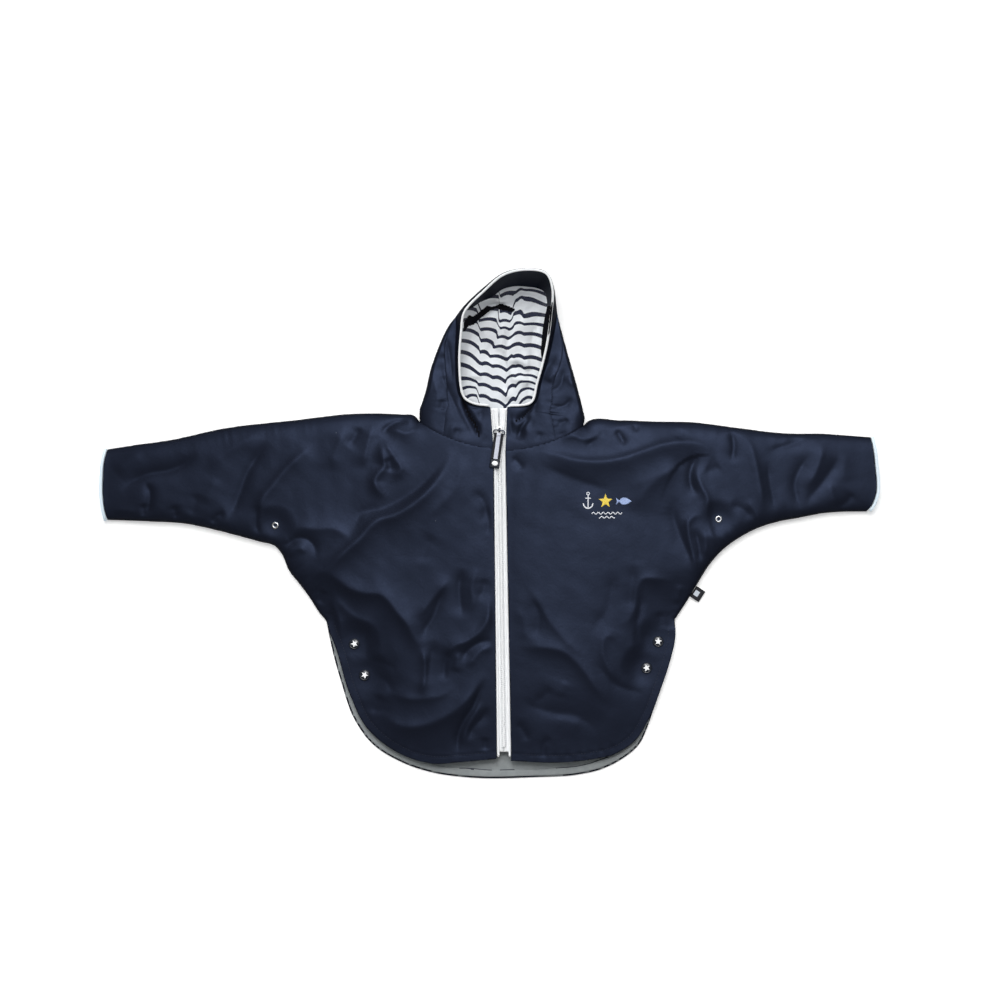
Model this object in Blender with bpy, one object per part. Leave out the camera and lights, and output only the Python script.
"""A child's hooded cape raincoat, laid flat on its back on a table, zip closed and hood open.

The tables are in millimetres and the scene is in metres. +X is to the right seen from above, +Y is
towards the hood and +Z is up; left and right are as seen from above. The origin is on the table,
under the middle of the coat. Every piece of cloth is a closed wall on a height function: the back
lies flat, and the fronts arch over it from their seams and carry the largest folds.
"""

import math
from collections import namedtuple

import bmesh
import bpy
from mathutils import Vector
from mathutils.geometry import delaunay_2d_cdt, intersect_point_line

# ---------------------------------------------------------------- driving sizes, in millimetres
MM = 0.001
CLOTH = 1.2  # wall of the coated outer cloth
JERSEY = 1.0  # wall of the striped lining
GAP = 0.3  # clearance between neighbouring pieces
OUTLINE_STEP = 17.0  # spacing of points along an outline
LATTICE = 22.0  # spacing of points inside an arched panel
ROUND_RINGS = (4.0, 11.0, 21.0)  # rows of points that carry the rounded edge of the fronts

LIP = 1.5  # how far the edge of the back turns up to its seam
LIP_WIDTH = 5.0
SEAM_TOP = 4.2  # outer height of a front where it meets the back
EDGE_ROUND = 34.0  # width over which a front rises from its seam
CROWN = 13.5  # outer height of chest and sleeves
CUFF_CROWN = 10.5
HEM_MIDDLE = 9.6
HEM_SIDE = 6.2
HEM_RISE = 75.0  # distance over which the front rises from its hem
ZIP_DIP = 1.5  # the fronts lie this much lower along the zip
ZIP_DIP_WIDTH = 22.0

PIPING_RADIUS = 1.3
TAPE_DROP = 2.3  # from the top of a front down to the top of the zip tape
TAPE = 1.0
TAPE_REACH = 9.5  # from the middle of the zip to a tape's outer edge
CHAIN_HALF = 2.6
CHAIN_HEIGHT = 1.8
ZIP_END_Y = -255.5
ZIP_TOP_Y = 129.0
TAPE_SPREAD = 1.6  # half the gap between the tapes at the open top end

ZIP_ROWS = [ZIP_END_Y + (ZIP_TOP_Y - ZIP_END_Y) * i / 16 for i in range(17)]

HOOD_EDGE = 4.0  # outer height of the hood's upper layer where it meets the hood back
HOOD_CENTRE = Vector((15.0, 190.0))
LINING_INSET = 1.9
LINING_DROP = 2.6
LINING_FLOOR = 3.6
LINING_LOWEST = 2.8

CUFF_BINDING = 4.5
CUFF_WALL = 1.6
HEM_TURNING = 8.0
HEM_WALL = 1.0

SNAP_RADIUS = 6.15
SNAP_DOME = 2.4
SOCKET_RADIUS = 5.0
SNAP_TOP = 6.0  # outer height of the cloth pressed flat under a snap cap
EYELET_TOP = 9.5
EYELET_RADIUS = 4.0
EYELET_HOLE = 1.8
EYELET_HEIGHT = 0.9

LABEL_PLACE = Vector((225.2, -75.4))  # on the side seam
LABEL_WIDTH = 14.0
LABEL_REACH = 11.5
LABEL_LOOP = 2.0
LABEL_WALL = 0.8

PULL_HINGE = Vector((8.8, 104.4, 15.2))
PULL_TURN = math.radians(-7.7)  # the pull lies this far off the line of the zip
RING_WIRE = 0.65  # wire radius
RING_HALF_WIDTH = 6.2
RING_REACH = 7.0
TAB_WIDTH = 10.2
TAB_LENGTH = 27.5
TAB_THICK = 1.9
TAB_END = 9.8
TAB_END_THICK = 3.0

# ---------------------------------------------------------------- tables, in millimetres
# Each side's outline, from the neck: over the shoulder to the cuff, across the cuff, under the arm
# to the end of the side seam, and round the front hem to the zip.
LEFT = {
    "shoulder": [(-80.5, 114), (-86, 120), (-149, 122.5), (-221, 115), (-299, 106), (-362, 93), (-426, 82)],
    "cuff": [(-426, 82), (-432, 48), (-425, 5)],
    "underarm": [(-425, 5), (-389, 5), (-341, 2), (-281, -12), (-241, -22), (-203, -75), (-185, -108)],
    "hem": [(-185, -108), (-179, -122), (-167, -158), (-155, -198), (-131, -235), (-101, -256),
            (-65, -267), (-30, -266), (5, -263.5)],
}
RIGHT = {
    "shoulder": [(103, 109.5), (106, 112.5), (145, 115), (229, 112.5), (268, 107.5), (337, 100), (421, 96)],
    "cuff": [(421, 96), (430, 60), (426, 24), (417, 14.5)],
    "underarm": [(417, 14.5), (379, 13.5), (343, 8), (301, -3), (256, -30), (229, -69), (205, -107)],
    "hem": [(205, -107), (206, -122), (203, -150), (190, -198), (175, -229), (151, -249),
            (115, -263), (73, -267.5), (21.5, -265.5)],
}
BACK_HEM = [(-185, -108), (-180, -136), (-167, -180), (-155, -216), (-134, -246), (-101, -267), (-65, -279),
            (-29, -284), (49, -284), (97, -281), (139, -264), (166, -237), (180, -212), (193, -175),
            (201, -140), (205, -107)]
BACK_NECK = [(-80.5, 114), (-45, 102), (12, 98), (68, 101), (103, 109.5)]
ZIP_LINE = [(14.2, -270), (9.0, 79), (8.2, 135)]  # middle of the zip
ZIP_HALF = [(-270, 8.0), (79, 6.6), (104, 6.6), (135, 9.4)]  # at height y, from the middle to a front's edge

# Sections across the hood, from the left end of the neck seam over the crown to the right end.
# outline_* is where the section meets the hood back, rim_* is the edge of the face opening, rim is
# its height, bow how far the section bulges outwards, seam the share of the way to the rim where
# the front band is sewn on, and slope the width over which the lining climbs to the rim.
Section = namedtuple("Section", "outline_x outline_y rim_x rim_y rim bow seam slope")
HOOD_SECTIONS = [
    Section(-80.5, 114, 2.3, 84.6, 12, 6, 0.36, 0),
    Section(-80, 128, -1.3, 130, 13, 3, 0.40, 0),
    Section(-76, 139, -21, 136, 21, 1, 0.53, 0),
    Section(-72, 153, -32, 147, 30, 1, 0.62, 6),
    Section(-66, 178, -34.5, 180, 36, 1, 0.52, 9),
    Section(-50, 217, -32.5, 214, 38, 2, 0.22, 10),
    Section(-33, 238, -29, 237, 40, 3, 0, 16),
    Section(-8, 262, -6, 261, 42, 4, 0, 24),
    Section(14, 277, 14, 278, 43, 4, 0, 26),
    Section(38, 281, 38, 283, 43, 4, 0, 26),
    Section(58, 277, 58, 279, 43, 4, 0, 22),
    Section(67, 261, 65.5, 261, 41, 4, 0, 12),
    Section(74, 231, 65, 233, 39, 3, 0.05, 9),
    Section(84, 193, 60, 196, 36, 2, 0.30, 8),
    Section(94, 158, 50, 159, 30, 1, 0.62, 6),
    Section(101, 131, 42, 137, 21, 1, 0.62, 0),
    Section(104, 118, 17.5, 130, 13, 3, 0.45, 0),
    Section(103, 109.5, 15.6, 82, 12, 6, 0.40, 0),
]
HOOD_TOP = 9  # the section where the two halves of the band meet
FACING_EDGE = [(-24, 243.5), (-16, 241), (3.5, 256), (28, 264), (45, 261.5), (57, 254), (58.5, 231), (61.5, 214)]
LINING_SEAM = [(12, 93), (17.5, 133), (16, 190), (14.5, 262)]
LINING_LOW_LEFT = (-34, 168)  # below here the lining runs on under the hood's band
LINING_LOW_RIGHT = (54, 168)
LINING_UNDER_LEFT = [(-48, 102), (-60, 122), (-58, 140), (-46, 158)]
LINING_UNDER_RIGHT = [(66, 160), (80, 142), (80, 122), (68, 102)]

# A fold is a soft ridge (depth above 0) or trough (below 0) along a curve through three points.
Fold = namedtuple("Fold", "x0 y0 x1 y1 x2 y2 width depth")
FOLDS_LEFT = [
    Fold(-252, 96, -276, 49, -298, 0, 11, -2.6),  # across the sleeve
    Fold(-212, 106, -231, 71, -257, 31, 11, -2.4),
    Fold(-416, 33, -390, 57, -339, 61, 9, -1.6),  # round behind the cuff
    Fold(-127, 113, -139, 53, -133, 36, 9, -3.2),  # below the shoulder
    Fold(-46, 91, -89, 31, -147, 4, 12, -4.2),  # long drape from neck to underarm
    Fold(-139, 12, -164, -27, -214, -50, 10, -4.0),
    Fold(-42, 88, -65, 47, -154, -24, 8, 2.6),
    Fold(-202, -57, -167, -73, -136, -104, 12, -4.4),  # from the side seam
    Fold(-176, -55, -144, -78, -104, -102, 10, 2.4),
    Fold(-130, -96, -98, -120, -79, -188, 13, -4.6),
    Fold(-49, -68, -69, -102, -78, -131, 10, -3.0),
    Fold(-2, -143, -49, -200, -106, -209, 17, -3.4),  # wide dip above the hem
    Fold(-6, -169, -29, -211, -38, -263, 8, -3.0),
]
FOLDS_RIGHT = [
    Fold(276, 103, 298, 53, 302, 5, 10, 2.2),  # across the sleeve
    Fold(366, 97, 348, 53, 347, 12, 10, 2.0),
    Fold(25, 82, 121, 69, 236, 87, 10, 3.0),  # ridge from neck to shoulder
    Fold(38, 76, 138, 43, 210, 75, 17, -4.2),
    Fold(229, 75, 223, 53, 236, 30, 9, -3.2),  # hooked crease above the underarm
    Fold(234, 64, 241, 30, 249, -26, 9, 2.4),
    Fold(208, 34, 206, -2, 227, -55, 13, -3.6),
    Fold(169, -4, 144, -52, 133, -90, 15, -2.6),
    Fold(210, -65, 164, -65, 160, -107, 10, 2.2),
    Fold(37, -68, 61, -93, 82, -131, 14, -2.0),
    Fold(28, -138, 82, -152, 121, -198, 13, -4.4),  # long drape below the chest
    Fold(58, -137, 100, -159, 139, -209, 10, 2.4),
    Fold(112, -149, 141, -182, 174, -195, 11, -2.4),
    Fold(25, -194, 73, -212, 126, -236, 14, -2.6),
]
LINING_FOLDS = [
    Fold(-19, 150, -14, 190, -2, 232, 12, 5.0),
    Fold(4, 150, 6, 190, 8, 236, 9, 3.0),
    Fold(34, 150, 36, 190, 38, 240, 13, 4.6),
    Fold(16, 138, 16, 190, 16, 250, 6, -2.0),
    Fold(18, 172, 36, 160, 48, 146, 7, -2.6),
]

# Where the cloth is pressed flat: a snap or an eyelet.
Spot = namedtuple("Spot", "x y top flat blend")
SNAPS_LEFT = [Spot(-153.5, -134.5, SNAP_TOP, 8, 20), Spot(-142, -169.5, SNAP_TOP, 8, 20)]
SNAPS_RIGHT = [Spot(186.5, -132, SNAP_TOP, 8, 20), Spot(173.5, -161.5, SNAP_TOP, 8, 20)]
EYELET_LEFT = Spot(-242, -2, EYELET_TOP, 6, 12)
EYELET_RIGHT = Spot(254, 5, EYELET_TOP, 6, 12)

NAVY = (0.020, 0.027, 0.050)
GREY = (0.34, 0.38, 0.40)
WHITE = (0.85, 0.86, 0.88)
ICE = (0.62, 0.74, 0.84)
STRIPED = (0.62, 0.66, 0.72)
STEEL = (0.62, 0.63, 0.65)


# ---------------------------------------------------------------- lines and distances
def catmull(before, start, end, after, share):
    """A point on the smooth curve from start to end; the values may be numbers or vectors."""
    return 0.5 * (
        2 * start
        + (end - before) * share
        + (2 * before - 5 * start + 4 * end - after) * share**2
        + (3 * start - before - 3 * end + after) * share**3
    )


def smooth_line(points, step=OUTLINE_STEP):
    """The points joined by a smooth curve, with a point about every step."""
    knots = [Vector(p) for p in points]
    knots = [2 * knots[0] - knots[1], *knots, 2 * knots[-1] - knots[-2]]
    line = []
    for before, start, end, after in zip(knots, knots[1:], knots[2:], knots[3:]):
        pieces = max(1, round((end - start).length / step))
        line += [catmull(before, start, end, after, i / pieces) for i in range(pieces)]
    return [*line, knots[-2]]


def chain_lines(*lines):
    """Lines that follow each other, joined, with their shared points kept once."""
    joined = []
    for line in lines:
        for point in line:
            if not joined or (point - joined[-1]).length > 0.5:
                joined.append(point)
    while (joined[0] - joined[-1]).length < 0.5:
        joined.pop()
    return joined


def nearest(point, line):
    """The distance from a point to a line, and the place on the line as a share of its pieces."""
    best, place = 1e9, 0.0
    for i, (start, end) in enumerate(zip(line, line[1:])):
        foot, share = intersect_point_line(point, start, end)
        share = min(1.0, max(0.0, share))
        distance = (point - start.lerp(end, share)).length
        if distance < best:
            best, place = distance, (i + share) / (len(line) - 1)
    return best, place


def smoothstep(share):
    share = min(1.0, max(0.0, share))
    return share * share * (3 - 2 * share)


def inside(point, outline):
    """True if a point lies within a closed outline."""
    within = False
    for start, end in zip(outline, outline[1:] + outline[:1]):
        if (start.y > point.y) != (end.y > point.y):
            crossing = start.x + (point.y - start.y) / (end.y - start.y) * (end.x - start.x)
            within ^= point.x < crossing
    return within


def inset(outline, amount):
    """A closed outline moved inwards."""
    area = sum(a.x * b.y - b.x * a.y for a, b in zip(outline, outline[1:] + outline[:1]))
    turn = 1 if area > 0 else -1
    moved = []
    for i, point in enumerate(outline):
        back = (point - outline[i - 1]).normalized()
        ahead = (outline[(i + 1) % len(outline)] - point).normalized()
        normal = Vector((-back.y - ahead.y, back.x + ahead.x)) * turn
        normal.normalize()
        stretch = max(0.6, normal.dot(Vector((-ahead.y, ahead.x)) * turn))
        moved.append(point + normal * (amount / stretch))
    return moved


def table_value(table, place):
    """The second column of a table, read between its rows at a place in the first."""
    if place <= table[0][0]:
        return table[0][1]
    for (low, first), (high, second) in zip(table, table[1:]):
        if place <= high:
            return first + (second - first) * (place - low) / (high - low)
    return table[-1][1]


# ---------------------------------------------------------------- heights of the coat
def zip_x(y):
    return table_value([(py, px) for px, py in ZIP_LINE], y)


def zip_edge_x(side, y):
    """The edge of a front beside the zip."""
    half = table_value(ZIP_HALF, y)
    return zip_x(y) - half if side is LEFT else zip_x(y) + half


for coat_side in (LEFT, RIGHT):
    coat_side["seam"] = [
        smooth_line(coat_side["shoulder"]),
        smooth_line(coat_side["underarm"]),
    ]
    coat_side["cuff_line"] = smooth_line(coat_side["cuff"])
    coat_side["hem_line"] = smooth_line(coat_side["hem"])
LEFT.update(folds=FOLDS_LEFT, snaps=SNAPS_LEFT, eyelet=EYELET_LEFT)
RIGHT.update(folds=FOLDS_RIGHT, snaps=SNAPS_RIGHT, eyelet=EYELET_RIGHT)


def fold_height(point, folds):
    """The sum of all folds at a point."""
    height = 0.0
    for fold in folds:
        reach = 2.5 * fold.width
        if not min(fold.x0, fold.x1, fold.x2) - reach < point.x < max(fold.x0, fold.x1, fold.x2) + reach:
            continue
        middle = Vector((fold.x1, fold.y1))
        ends = Vector((fold.x0, fold.y0)), Vector((fold.x2, fold.y2))
        handle = 2 * middle - (ends[0] + ends[1]) / 2
        curve = [
            ends[0] * (1 - t) ** 2 + handle * 2 * t * (1 - t) + ends[1] * t**2
            for t in [i / 8 for i in range(9)]
        ]
        distance, place = nearest(point, curve)
        taper = max(0.0, math.sin(math.pi * place)) ** 0.6
        height += fold.depth * taper * math.exp(-((distance / fold.width) ** 2))
    return height


def front_height(point, side):
    """Outer height of a front at a point, in millimetres above the table."""
    from_seam = min(nearest(point, line)[0] for line in side["seam"])
    from_zip = abs(point.x - zip_x(point.y))
    from_cuff = nearest(point, side["cuff_line"])[0]
    from_hem = nearest(point, side["hem_line"])[0]
    hem_top = HEM_SIDE + (HEM_MIDDLE - HEM_SIDE) * smoothstep(1.35 - from_zip / 140)
    crown = hem_top + (CROWN - hem_top) * smoothstep(from_hem / HEM_RISE)
    crown = min(crown, CUFF_CROWN + (CROWN - CUFF_CROWN) * smoothstep(from_cuff / 60))
    crown -= ZIP_DIP * math.exp(-((from_zip / ZIP_DIP_WIDTH) ** 2))
    rise = math.sqrt(1 - (1 - min(1.0, from_seam / EDGE_ROUND)) ** 2)
    height = SEAM_TOP + (crown - SEAM_TOP) * rise
    calm = smoothstep(from_seam / 16) * smoothstep((from_zip - 6) / 14) * smoothstep((from_hem + 2) / 10)
    height += fold_height(point, side["folds"]) * calm
    for spot in [*side["snaps"], side["eyelet"]]:
        off = (point - Vector((spot.x, spot.y))).length
        height += (spot.top - height) * smoothstep(1 - (off - spot.flat) / spot.blend)
    return height


# ---------------------------------------------------------------- shape of the hood
def section_at(place):
    """The hood's section at a place between two rows of its table; the zip's top ends stay corners."""
    last = len(HOOD_SECTIONS) - 1
    row = min(int(place), last - 1)
    share = place - row
    start, end = HOOD_SECTIONS[row], HOOD_SECTIONS[row + 1]
    if row in (0, last - 1):
        return Section(*[a + (b - a) * share for a, b in zip(start, end)])
    before = HOOD_SECTIONS[max(1, row - 1)]
    after = HOOD_SECTIONS[min(last - 1, row + 2)]
    return Section(*[catmull(*values, share) for values in zip(before, start, end, after)])


def hood_point(place, share):
    """A point of the hood's upper layer: place along its table, share from the outline to the rim."""
    section = section_at(place)
    start = Vector((section.outline_x, section.outline_y))
    end = Vector((section.rim_x, section.rim_y))
    flat = start.lerp(end, share)
    flat += (flat - HOOD_CENTRE).normalized() * section.bow * 4 * share * (1 - share)
    rise = 0.55 * math.sin(math.pi / 2 * min(1.0, share / 0.6)) + 0.45 * share**3
    height = HOOD_EDGE + (section.rim - HOOD_EDGE) * rise
    from_neck = min(place, len(HOOD_SECTIONS) - 1 - place)
    if from_neck < 2:
        side = LEFT if place < 2 else RIGHT
        coat = front_height(flat, side)
        height = coat + (height - coat) * smoothstep(from_neck / 2)
    return Vector((flat.x, flat.y, height))


def rim_frame(place):
    """A point on the rim's middle, the outward normal there, and the way off the cloth's edge."""
    ahead, back = min(place + 0.05, 16.0), max(place - 0.05, 1.0)
    along = (hood_point(ahead, 1) - hood_point(back, 1)).normalized()
    across = hood_point(place, 1) - hood_point(place, 0.92)
    normal = along.cross(across).normalized()
    if normal.dot(hood_point(place, 1) - Vector((HOOD_CENTRE.x, HOOD_CENTRE.y, 0))) < 0:
        normal = -normal
    away = normal.cross(along).normalized()
    if away.dot(across) < 0:
        away = -away
    return hood_point(place, 1) - normal * CLOTH / 2, normal, away


RIM_PLACES = [1 + i * 15 / 60 for i in range(61)]
RIM = [hood_point(place, 1) for place in RIM_PLACES]
RIM_FLAT = [point.xy for point in RIM]


def lining_height(point):
    """Outer height of the lining and facing inside the hood."""
    distance, share = nearest(point, RIM_FLAT)
    section = section_at(RIM_PLACES[0] + share * 15)
    folds = fold_height(point, LINING_FOLDS) * smoothstep((point.y - 134) / 12)
    floor = max(LINING_FLOOR + folds, LINING_LOWEST)
    if section.slope < 1 or not inside(point, RIM_FLAT):
        return floor
    climb = max(0.0, 1 - max(0.0, distance - LINING_INSET) / section.slope) ** 1.5
    from_neck = min(RIM_PLACES[0] + share * 15, 16 - share * 15)
    climb *= smoothstep((from_neck - 3.3) / 1.1)
    return floor + (section.rim - LINING_DROP - floor) * climb


# ---------------------------------------------------------------- building blocks
def clear_scene():
    for item in list(bpy.data.objects):
        bpy.data.objects.remove(item, do_unlink=True)


def material(name, colour, roughness, metallic=0.0):
    made = bpy.data.materials.new(name)
    made.use_nodes = True
    shader = made.node_tree.nodes["Principled BSDF"]
    shader.inputs["Base Color"].default_value = (*colour, 1.0)
    shader.inputs["Roughness"].default_value = roughness
    shader.inputs["Metallic"].default_value = metallic
    return made


def place_object(name, data, look):
    item = bpy.data.objects.new(name, data)
    bpy.context.scene.collection.objects.link(item)
    data.materials.append(look)
    return item


def mesh_object(name, points, faces, look, smooth=True):
    """An object from points in millimetres."""
    mesh = bpy.data.meshes.new(name)
    mesh.from_pydata([Vector(p) * MM for p in points], [], faces)
    if smooth:
        mesh.shade_smooth()
    return place_object(name, mesh, look)


def wall(item, thickness, offset=-1.0):
    """Gives a surface its thickness, below the outer side."""
    solid = item.modifiers.new("wall", "SOLIDIFY")
    solid.thickness = thickness * MM
    solid.offset = offset
    return item


def ring_points(centre, radius, count):
    return [
        Vector((centre[0] + radius * math.cos(a), centre[1] + radius * math.sin(a)))
        for a in [2 * math.pi * i / count for i in range(count)]
    ]


def panel(name, outline, height, look, lattice=LATTICE, rings=(), spots=(), hole=None, thickness=CLOTH):
    """A piece of cloth cut to an outline, on a height function, as a closed wall.

    rings are rows of points at those distances inside the outline, spots are round places that get
    their own points, and hole is a spot that is cut through.
    """
    edge = inset(outline, GAP / 2)
    points = list(edge)
    edges = [(i, (i + 1) % len(edge)) for i in range(len(edge))]
    if hole:
        start = len(points)
        points += ring_points((hole.x, hole.y), EYELET_HOLE, 8)
        edges += [(start + i, start + (i + 1) % 8) for i in range(8)]
    closed = [*edge, edge[0]]
    for spot in spots:
        points += ring_points((spot.x, spot.y), spot.flat, 8)
        points += ring_points((spot.x, spot.y), spot.flat + spot.blend / 2, 8)
        if spot is not hole:
            points.append(Vector((spot.x, spot.y)))
    clear = 0.0
    for distance in rings:
        row = [p for p in inset(outline, distance) if nearest(p, closed)[0] > 0.85 * distance]
        points += [p for p in row if inside(p, edge) and free_of_spots(p, spots)]
        clear = distance
    low = Vector((min(p.x for p in edge), min(p.y for p in edge)))
    high = Vector((max(p.x for p in edge), max(p.y for p in edge)))
    rows = int((high.y - low.y) / (lattice * 0.87)) + 1
    for row in range(rows):
        y = low.y + (row + 0.5) * lattice * 0.87
        x = low.x + (0.25 + 0.5 * (row % 2)) * lattice
        while x < high.x:
            spot_point = Vector((x, y))
            room = nearest(spot_point, closed)[0] > clear + 0.45 * lattice
            if room and inside(spot_point, edge) and free_of_spots(spot_point, spots):
                points.append(spot_point)
            x += lattice
    flat, _, faces, *_ = delaunay_2d_cdt(points, edges, [], 2 if hole else 1, 1e-5)
    surface = [Vector((p.x, p.y, height(p))) for p in flat]
    return wall(mesh_object(name, surface, faces, look), thickness)


def free_of_spots(point, spots):
    """True if a point leaves the round places their own points."""
    return all((point - Vector((s.x, s.y))).length > s.flat + 0.75 * s.blend for s in spots)


def grid(name, rows, look, thickness, offset=-1.0, close=False):
    """A wall on rows of points; close joins the last row to the first."""
    width = len(rows[0])
    points = [point for row in rows for point in row]
    faces = []
    for i in range(len(rows) - (0 if close else 1)):
        j = (i + 1) % len(rows)
        faces += [
            (i * width + k, i * width + k + 1, j * width + k + 1, j * width + k)
            for k in range(width - 1)
        ]
    return wall(mesh_object(name, points, faces, look), thickness, offset)


def tube(name, centres, radius, look):
    """A round cord along a line of points."""
    curve = bpy.data.curves.new(name, "CURVE")
    curve.dimensions = "3D"
    curve.bevel_depth = radius * MM
    curve.bevel_resolution = 2
    curve.use_fill_caps = True
    line = curve.splines.new("POLY")
    line.points.add(len(centres) - 1)
    for target, centre in zip(line.points, centres):
        target.co = (*(Vector(centre) * MM), 1.0)
    return place_object(name, curve, look)


def turned(name, profile, centre, look, steps=20):
    """A solid of revolution from (radius, height) pairs, listed from the bottom up."""
    made = bmesh.new()
    line = [made.verts.new(Vector((r, 0, z)) * MM) for r, z in profile]
    for start, end in zip(line, line[1:]):
        made.edges.new((start, end))
    if profile[0][0] > 0 and profile[-1][0] > 0:
        made.edges.new((line[-1], line[0]))
    bmesh.ops.spin(
        made, geom=made.verts[:] + made.edges[:], cent=(0, 0, 0), axis=(0, 0, 1),
        angle=2 * math.pi, steps=steps, use_merge=True,
    )
    bmesh.ops.remove_doubles(made, verts=made.verts, dist=1e-6)
    bmesh.ops.recalc_face_normals(made, faces=made.faces)
    mesh = bpy.data.meshes.new(name)
    made.to_mesh(mesh)
    made.free()
    mesh.shade_smooth()
    mesh.set_sharp_from_angle(angle=math.radians(40))
    item = place_object(name, mesh, look)
    item.location = Vector(centre) * MM
    return item


def block(name, centre, size, look, bevel=0.0):
    """A box with its edges rounded, sizes in millimetres."""
    made = bmesh.new()
    bmesh.ops.create_cube(made, size=1.0)
    bmesh.ops.scale(made, vec=Vector(size) * MM, verts=made.verts)
    if bevel:
        bmesh.ops.bevel(
            made, geom=made.edges[:], offset=bevel * MM, segments=2, affect="EDGES", profile=0.5, material=-1
        )
    mesh = bpy.data.meshes.new(name)
    made.to_mesh(mesh)
    made.free()
    item = place_object(name, mesh, look)
    item.location = Vector(centre) * MM
    return item


# ---------------------------------------------------------------- the coat's pieces
def neck_line(side):
    """The neck seam of one side, from the shoulder to the zip, as the hood's first section has it."""
    place = 0 if side is LEFT else len(HOOD_SECTIONS) - 1
    section = HOOD_SECTIONS[place]
    line = []
    for i in range(8):
        share = i / 7
        start = Vector((section.outline_x, section.outline_y))
        flat = start.lerp(Vector((section.rim_x, section.rim_y)), share)
        line.append(flat + (flat - HOOD_CENTRE).normalized() * section.bow * 4 * share * (1 - share))
    return line


def front_outline(side):
    neck = neck_line(side)
    zip_edge = [Vector((zip_edge_x(side, y), y)) for y in ZIP_ROWS if y < neck[-1].y - 1]
    shoulder, underarm = side["seam"]
    return chain_lines(shoulder, side["cuff_line"], underarm, side["hem_line"], zip_edge, neck[::-1])


def back_outline():
    shoulder, underarm = LEFT["seam"]
    left = [*underarm[::-1], *LEFT["cuff_line"][::-1], *shoulder[::-1]]
    shoulder, underarm = RIGHT["seam"]
    right = [*shoulder, *RIGHT["cuff_line"], *underarm]
    return chain_lines(smooth_line(BACK_HEM)[::-1], left, smooth_line(BACK_NECK), right)


def lip_height(point, lines):
    """Outer height of a lower panel: flat, with its edge turned up to its seams, away from the neck."""
    distance = min(nearest(point, line)[0] for line in lines)
    from_neck = nearest(point, smooth_line(BACK_NECK))[0]
    return CLOTH + LIP * max(0.0, 1 - distance / LIP_WIDTH) ** 2 * smoothstep((from_neck - 1) / 8)


def back_height(point):
    return lip_height(point, [*LEFT["seam"], *RIGHT["seam"]])


def hood_outline():
    return [Vector(hood_point(i / 3, 0)[:2]) for i in range(3 * (len(HOOD_SECTIONS) - 1) + 1)]


def hood_back_height(point):
    return lip_height(point, [hood_outline()])


def build_body(navy, grey):
    panel("back", back_outline(), back_height, navy, lattice=55, rings=(LIP_WIDTH,))
    for name, side in (("front_left", LEFT), ("front_right", RIGHT)):
        panel(
            name, front_outline(side), lambda p, s=side: front_height(p, s), navy,
            rings=ROUND_RINGS, spots=[*side["snaps"], side["eyelet"]], hole=side["eyelet"],
        )
    outer = smooth_line(BACK_HEM)
    lift = CLOTH + GAP + HEM_WALL
    rows = []
    for i, point in enumerate(outer[1:-1], start=1):
        along = (outer[i + 1] - outer[i - 1]).normalized()
        inward = Vector((-along.y, along.x))
        for_row = [point + inward * 1.0, point + inward * (1.0 + HEM_TURNING)]
        rows.append([Vector((p.x, p.y, lift)) for p in for_row])
    grid("back_hem", rows, grey, HEM_WALL, offset=-1.0)


def hood_rows(places, start_share, end_share, columns=4):
    """Rows of points across the hood; the shares are functions of the place."""
    rows = []
    for place in places:
        low, high = start_share(place), end_share(place)
        rows.append([hood_point(place, low + (high - low) * k / columns) for k in range(columns + 1)])
    return rows


def seam_share(place):
    return max(0.0, section_at(place).seam)


def seam_margin(place):
    """Half the clearance along the band's seam, as a share of the section's length."""
    section = section_at(place)
    length = math.dist((section.outline_x, section.outline_y), (section.rim_x, section.rim_y))
    return GAP / max(length, 12.0)


def band_start(place):
    return seam_share(place) + seam_margin(place)


def side_end(place):
    return seam_share(place) - seam_margin(place)


def flipped(rows):
    return [row[::-1] for row in rows]


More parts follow.
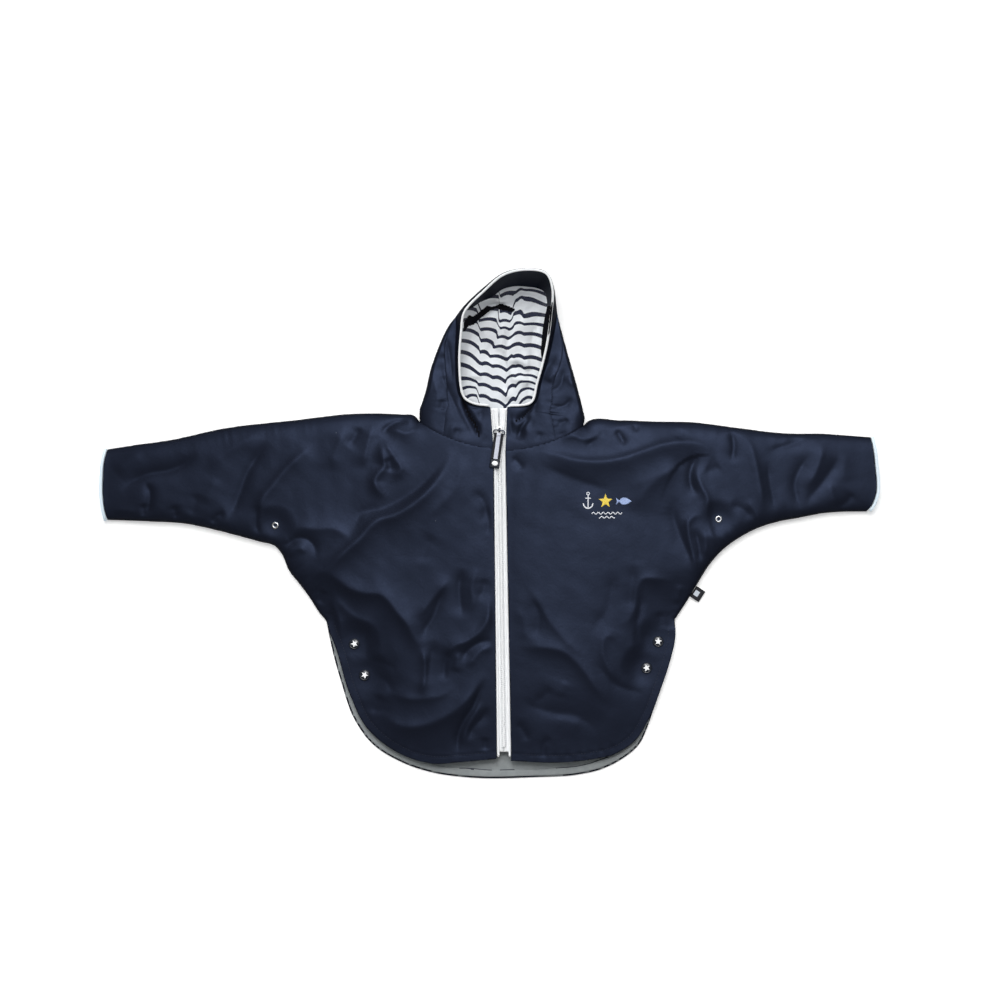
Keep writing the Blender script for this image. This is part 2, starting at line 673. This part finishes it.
def build_hood(navy, striped, white):
    last = len(HOOD_SECTIONS) - 1
    left = [0.012 + (HOOD_TOP - 0.02) * i / 22 for i in range(23)]
    right = [HOOD_TOP + 0.008 + (last - HOOD_TOP - 0.02) * i / 20 for i in range(21)]
    for name, places in (("left", left), ("right", right)):
        seamed = [place for place in places if seam_share(place) > 0.04]
        grid(f"hood_side_{name}", hood_rows(seamed, lambda p: 0.0, side_end), navy, CLOTH)
        grid(f"hood_band_{name}", hood_rows(places, band_start, lambda p: 1.0), navy, CLOTH)

    back = chain_lines(hood_outline(), smooth_line(BACK_NECK)[::-1])
    panel("hood_back", back, hood_back_height, navy, lattice=40, rings=(LIP_WIDTH,))

    centres = []
    for i in range(46):
        middle_point, _, away = rim_frame(1.1 + 14.8 * i / 45)
        centres.append(middle_point + away * (PIPING_RADIUS + 1.7 * GAP))
    tube("hood_piping", centres, PIPING_RADIUS, white)

    rim = inset(chain_lines(RIM_FLAT), LINING_INSET)
    ends = [rim_index(rim, FACING_EDGE[0]), rim_index(rim, FACING_EDGE[-1])]
    edge = smooth_line([rim[ends[0]], *FACING_EDGE[1:-1], rim[ends[1]]], 9)
    facing = chain_lines(rim[ends[0]:ends[1] + 1], edge[::-1])
    panel("hood_facing", facing, lining_height, navy, lattice=9, thickness=CLOTH)

    seam = smooth_line(LINING_SEAM, 12)
    split = min(range(len(edge)), key=lambda i: abs(edge[i].x - seam[-1].x))
    seam[-1] = edge[split]
    low_left, low_right = rim_index(rim, LINING_LOW_LEFT), rim_index(rim, LINING_LOW_RIGHT)
    under = smooth_line([seam[0], *LINING_UNDER_LEFT, rim[low_left]])
    left = chain_lines(under, rim[low_left:ends[0]], edge[:split], seam[::-1])
    panel("hood_lining_left", left, lining_height, striped, lattice=12, thickness=JERSEY)
    under = smooth_line([rim[low_right], *LINING_UNDER_RIGHT, seam[0]])
    right = chain_lines(seam, edge[split + 1:-1], rim[ends[1]:low_right + 1], under)
    panel("hood_lining_right", right, lining_height, striped, lattice=12, thickness=JERSEY)


def rim_index(rim, place):
    """The point of the rim nearest to a place."""
    return min(range(len(rim)), key=lambda i: (rim[i] - Vector(place)).length)


def edge_height(side, y):
    """Outer height of the coat at the edge beside the zip."""
    neck_y = neck_line(side)[-1].y
    if y < neck_y:
        return front_height(Vector((zip_edge_x(side, y), y)), side)
    last = len(HOOD_SECTIONS) - 1
    top = HOOD_SECTIONS[1].rim_y
    climb = (y - neck_y) / (top - neck_y)
    return hood_point(climb if side is LEFT else last - climb, 1).z


def build_zip(white, steel, navy, dark):
    rows = ZIP_ROWS
    for name, side, way in (("left", LEFT, -1), ("right", RIGHT, 1)):
        heights = [ZIP_END_Y - 6, *rows]
        centres = [
            (zip_edge_x(side, y) - way * (PIPING_RADIUS + GAP), y, edge_height(side, y) - CLOTH / 2)
            for y in heights
        ]
        tube(f"front_piping_{name}", centres, PIPING_RADIUS, white)
        strips = []
        for y in rows:
            open_share = smoothstep((y - PULL_HINGE.y) / (ZIP_TOP_Y - PULL_HINGE.y))
            inner = zip_x(y) + way * (GAP / 2 + TAPE_SPREAD * open_share)
            outer = zip_x(y) + way * TAPE_REACH
            top = edge_height(side, y) - TAPE_DROP
            strip = [Vector((inner, y, top)), Vector((outer, y, top))]
            strips.append(strip if way > 0 else strip[::-1])
        grid(f"zip_tape_{name}", strips, white, TAPE)

    chain_rows = [y for y in rows if y < PULL_HINGE.y - 4]
    chain_rows.append(PULL_HINGE.y - 4)
    strips = [[Vector((zip_x(y) + way * CHAIN_HALF, y, chain_top(y))) for way in (-1, 1)] for y in chain_rows]
    grid("zip_chain", strips, white, CHAIN_HEIGHT)
    build_slider(white)
    build_pull(steel, navy, dark)


def chain_top(y):
    return max(edge_height(LEFT, y), edge_height(RIGHT, y)) - TAPE_DROP + GAP + CHAIN_HEIGHT


def build_slider(white):
    """A plate over the teeth with a bridge along it; the pull's ring passes under the bridge."""
    plate_top = PULL_HINGE.z - RING_WIRE - 0.35
    plate_low = chain_top(PULL_HINGE.y) + GAP
    thick = plate_top - plate_low
    centre = Vector((PULL_HINGE.x - 0.2, PULL_HINGE.y + 0.6, plate_low + thick / 2))
    plate = block("zip_slider", centre, (6.6, 9.0, thick), white, bevel=0.35)
    arch_inner, arch_outer = RING_WIRE + 0.4, RING_WIRE + 1.45
    profile = []
    for i in range(9):
        angle = math.pi * i / 8
        profile.append((arch_outer * 1.35 * math.cos(angle), arch_outer * math.sin(angle)))
    foot = RING_WIRE + 0.75
    profile += [(-arch_outer * 1.35, -foot), (-arch_inner, -foot)]
    for i in range(9):
        angle = math.pi - math.pi * i / 8
        profile.append((arch_inner * math.cos(angle), arch_inner * math.sin(angle)))
    profile += [(arch_inner, -foot), (arch_outer * 1.35, -foot)]
    made = bmesh.new()
    half = 1.1
    face = made.faces.new([made.verts.new(Vector((-half, y, z)) * MM) for y, z in profile])
    grown = bmesh.ops.extrude_face_region(made, geom=[face])
    moved = [v for v in grown["geom"] if isinstance(v, bmesh.types.BMVert)]
    bmesh.ops.translate(made, vec=Vector((2 * half, 0, 0)) * MM, verts=moved)
    bmesh.ops.recalc_face_normals(made, faces=made.faces)
    mesh = bpy.data.meshes.new("bridge")
    made.to_mesh(mesh)
    made.free()
    bridge = place_object("bridge", mesh, white)
    bridge.location = PULL_HINGE * MM
    bridge.rotation_euler.z = PULL_TURN
    bridge.hide_render = True
    bridge.display_type = "WIRE"
    union = plate.modifiers.new("bridge", "BOOLEAN")
    union.operation = "UNION"
    union.solver = "EXACT"
    union.object = bridge


def build_pull(steel, navy, dark):
    """The ring, ribbon tab and tab end, all under an empty on the hinge's axis."""
    hinge = bpy.data.objects.new("pull_hinge", None)
    bpy.context.scene.collection.objects.link(hinge)
    hinge.location = PULL_HINGE * MM
    hinge.rotation_euler.z = PULL_TURN

    corners = [(RING_HALF_WIDTH, 0), (RING_HALF_WIDTH, -RING_REACH), (-RING_HALF_WIDTH, -RING_REACH), (-RING_HALF_WIDTH, 0)]
    radius = 1.6
    line = []
    for (x, y), turn in zip(corners, (0, -90, 180, 90)):
        centre = Vector((x - math.copysign(radius, x), y - math.copysign(radius, y + RING_REACH / 2), 0))
        for i in range(4):
            angle = math.radians(turn + 90 - 30 * i)
            line.append(centre + Vector((math.cos(angle), math.sin(angle), 0)) * radius)
    ring = tube("zip_ring", line, RING_WIRE, steel)
    ring.data.splines[0].use_cyclic_u = True
    ring.data.use_fill_caps = False
    ring.parent = hinge

    eye_outer, eye_inner = RING_WIRE + 1.15, RING_WIRE + 0.35
    half = TAB_THICK / 2
    start_angle = math.asin(half / eye_outer)
    outer = []
    for i in range(13):
        angle = -math.pi / 2 - start_angle - (2 * math.pi - 2 * start_angle) * i / 12
        outer.append((eye_outer * math.sin(angle + math.pi / 2 - math.pi / 2), eye_outer * math.cos(angle)))
    profile = [(-eye_outer * math.cos(a), eye_outer * math.sin(a))
               for a in [start_angle + (2 * math.pi - 2 * start_angle) * i / 12 for i in range(13)]]
    made = bmesh.new()
    outline = [made.verts.new(Vector((-TAB_WIDTH / 2, y, z)) * MM) for y, z in profile]
    outline += [
        made.verts.new(Vector((-TAB_WIDTH / 2, -TAB_LENGTH, z)) * MM) for z in (-half, half)
    ]
    face = made.faces.new(outline)
    grown = bmesh.ops.extrude_face_region(made, geom=[face])
    moved = [v for v in grown["geom"] if isinstance(v, bmesh.types.BMVert)]
    bmesh.ops.translate(made, vec=Vector((TAB_WIDTH, 0, 0)) * MM, verts=moved)
    bmesh.ops.recalc_face_normals(made, faces=made.faces)
    mesh = bpy.data.meshes.new("zip_pull")
    made.to_mesh(mesh)
    made.free()
    tab = place_object("zip_pull", mesh, navy)
    tab.location = Vector((0, -RING_REACH, 0)) * MM
    tab.parent = hinge
    eye = turned("eye_cutter", [(0, -8), (eye_inner, -8), (eye_inner, 8), (0, 8)], (0, -RING_REACH, 0), dark, 16)
    eye.rotation_euler.y = math.pi / 2
    eye.parent = hinge
    eye.hide_render = True
    eye.display_type = "WIRE"
    cut = tab.modifiers.new("eye", "BOOLEAN")
    cut.operation = "DIFFERENCE"
    cut.solver = "EXACT"
    cut.object = eye

    centre_y = -RING_REACH - TAB_LENGTH - GAP - TAB_END / 2
    end = block("zip_pull_end", (0, centre_y, 0), (TAB_END + 1, TAB_END, TAB_END_THICK), dark, bevel=0.8)
    end.parent = hinge


def build_cuffs(ice):
    """The bindings: a strip round each cuff, over the front and back under the sleeve."""
    for name, side, way in (("cuff_binding_left", LEFT, 1), ("cuff_binding_right", RIGHT, -1)):
        line = smooth_line(side["cuff"], 9)
        first, last = (line[0] - line[1]).normalized(), (line[-1] - line[-2]).normalized()
        line[0] += first * (CUFF_WALL / 2 + GAP)
        line[-1] += last * (CUFF_WALL / 2 + GAP)
        over, under = [], []
        for i, point in enumerate(line):
            along = (line[min(i + 1, len(line) - 1)] - line[max(i - 1, 0)]).normalized()
            outward = Vector((along.y, -along.x)) * way
            high = max(front_height(point, side) - CUFF_WALL / 2 + GAP, CUFF_WALL + 2.2)
            near, far = point + outward * 2 * GAP, point + outward * (2 * GAP + CUFF_BINDING)
            over.append([Vector((*p, high)) for p in (near, far)])
            under.append([Vector((*p, CUFF_WALL / 2)) for p in (near, far)])
        strip = [*over, *under[::-1]]
        grid(name, strip if way < 0 else flipped(strip), ice, CUFF_WALL, offset=0.0, close=True)


def build_fasteners(steel, dark):
    spots = [*SNAPS_LEFT, *SNAPS_RIGHT]
    cap = [(0, 0), (SNAP_RADIUS - 0.5, 0), (SNAP_RADIUS, 0.5), (SNAP_RADIUS - 0.4, 1.3), (SNAP_RADIUS - 2.2, SNAP_DOME - 0.3),
           (0, SNAP_DOME)]
    socket_top = SNAP_TOP - CLOTH - GAP
    socket_low = CLOTH + GAP
    socket = [(0, socket_low), (SOCKET_RADIUS, socket_low), (SOCKET_RADIUS, socket_top), (0, socket_top)]
    for number, spot in enumerate(spots, start=1):
        turned(f"snap_cap_{number}", cap, (spot.x, spot.y, SNAP_TOP + GAP), dark)
        turned(f"snap_socket_{number}", socket, (spot.x, spot.y, 0), steel, 16)
    rim = [(EYELET_HOLE, 0), (EYELET_RADIUS, 0), (EYELET_RADIUS - 0.5, EYELET_HEIGHT * 0.7),
           (EYELET_HOLE + 0.9, EYELET_HEIGHT), (EYELET_HOLE, EYELET_HEIGHT * 0.6)]
    for name, spot in (("eyelet_left", EYELET_LEFT), ("eyelet_right", EYELET_RIGHT)):
        turned(name, rim, (spot.x, spot.y, EYELET_TOP + GAP), steel)


def build_label(navy):
    """A ribbon loop out of the side seam, lying on the table beside it."""
    low = LABEL_WALL / 2
    bend = LABEL_LOOP / 2
    straight = LABEL_REACH - bend
    profile = [(0.0, low), (straight * 0.5, low), (straight, low)]
    for i in range(1, 6):
        angle = -math.pi / 2 + math.pi * i / 6
        profile.append((straight + bend * math.cos(angle), low + bend + bend * math.sin(angle)))
    profile += [(straight, low + LABEL_LOOP), (straight * 0.5, low + LABEL_LOOP), (1.5, low + LABEL_LOOP)]
    start, end = RIGHT["underarm"][-2], RIGHT["underarm"][-1]
    across = (Vector(start) - Vector(end)).normalized()
    outward = Vector((across.y, -across.x))
    middle = LABEL_PLACE + outward * 2 * GAP
    rows = []
    for reach, height in profile:
        centre = middle + outward * reach
        ends = centre - across * LABEL_WIDTH / 2, centre + across * LABEL_WIDTH / 2
        rows.append([Vector((*p, height)) for p in ends])
    grid("side_label", rows, navy, LABEL_WALL, offset=0.0)


clear_scene()
NAVY_CLOTH = material("navy_cloth", NAVY, 0.55)
GREY_BACKING = material("grey_backing", GREY, 0.9)
WHITE_TRIM = material("white_trim", WHITE, 0.7)
ICE_BINDING = material("ice_binding", ICE, 0.7)
STRIPED_JERSEY = material("striped_jersey", STRIPED, 0.95)
STEEL_FITTINGS = material("steel_fittings", STEEL, 0.3, 1.0)
DARK_PLASTIC = material("dark_plastic", (0.012, 0.016, 0.03), 0.35)
build_body(NAVY_CLOTH, GREY_BACKING)
build_hood(NAVY_CLOTH, STRIPED_JERSEY, WHITE_TRIM)
build_zip(WHITE_TRIM, STEEL_FITTINGS, NAVY_CLOTH, DARK_PLASTIC)
build_cuffs(ICE_BINDING)
build_fasteners(STEEL_FITTINGS, DARK_PLASTIC)
build_label(NAVY_CLOTH)
